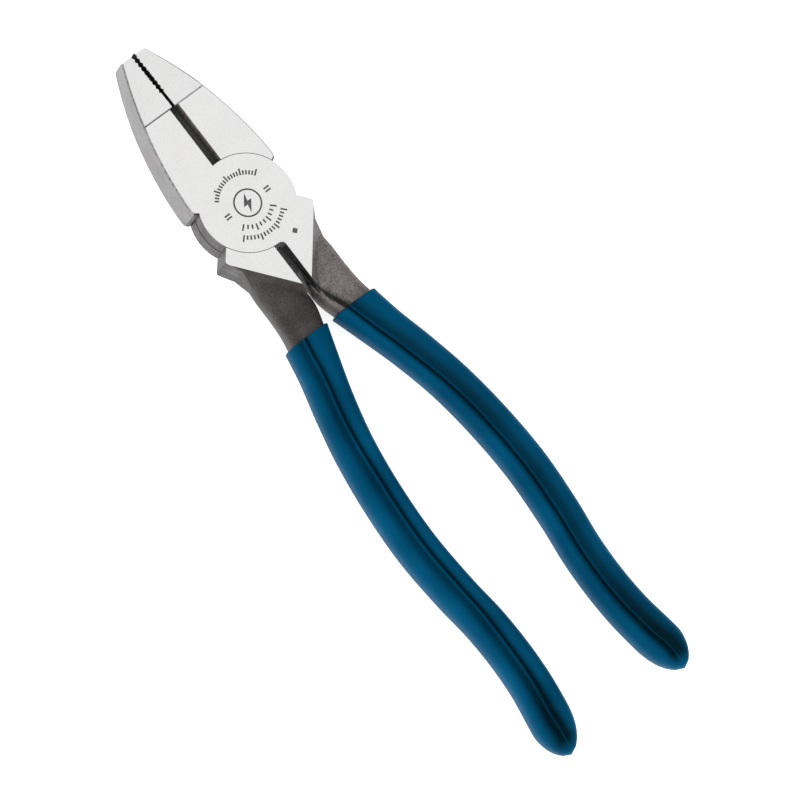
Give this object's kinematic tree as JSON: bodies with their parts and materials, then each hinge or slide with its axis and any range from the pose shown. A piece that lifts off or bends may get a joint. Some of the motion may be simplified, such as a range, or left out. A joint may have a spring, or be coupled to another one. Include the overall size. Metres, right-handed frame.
{
  "type": "lineman pliers",
  "caption": "Side-cutting lineman pliers with a flat knurled nose, lap joint, flush rivet and long blue dipped handles, jaws closed.",
  "frame": {"origin": "on the pivot's axis, in the plane of the head's rear ground face", "axes": "+Y points to the nose, +X to the right when the front face is seen, +Z out of the front face"},
  "size_m": [0.0536, 0.2381, 0.016],
  "materials": {
    "forged_steel": "ground faces, dark as-forged necks",
    "rivet_steel": "ground flush with the faces",
    "dipped_plastic": "semi-gloss"
  },
  "bodies": {
    "front_body": {"front_plier_half": "forged_steel", "pivot_rivet": "rivet_steel", "right_grip": "dipped_plastic"},
    "rear_body": {"rear_plier_half": "forged_steel", "left_grip": "dipped_plastic"}
  },
  "joints": [
    {"name": "pivot", "type": "hinge", "parent": "front_body", "child": "rear_body", "pos_m": [0, 0, 0.008], "axis": [0, 0, -1], "range_deg": [0, 48]}
  ]
}
